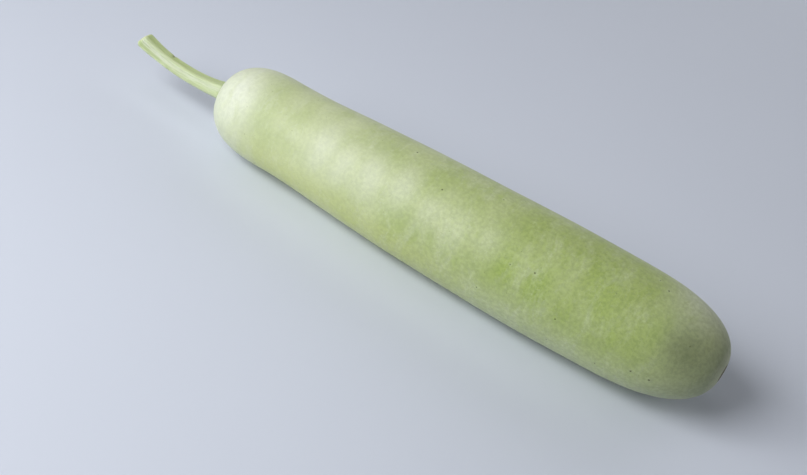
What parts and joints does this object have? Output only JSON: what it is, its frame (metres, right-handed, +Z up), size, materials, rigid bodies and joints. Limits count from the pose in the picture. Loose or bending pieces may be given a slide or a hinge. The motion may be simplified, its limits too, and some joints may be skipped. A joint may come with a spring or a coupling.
{
  "type": "bottle gourd",
  "caption": "Long club-shaped bottle gourd with its cut ribbed stem, lying on its side: fresh produce for kitchen, table and market scenes.",
  "frame": {"origin": "on the surface that the gourd lies on, under the middle of its bounding box", "axes": "+X from the stem to the blossom end, +Z up"},
  "size_m": [0.4532, 0.0786, 0.0791],
  "materials": {
    "skin": "satin",
    "stem": "matte"
  },
  "bodies": {
    "root": {"fruit": "skin", "stem": "stem"}
  },
  "joints": []
}
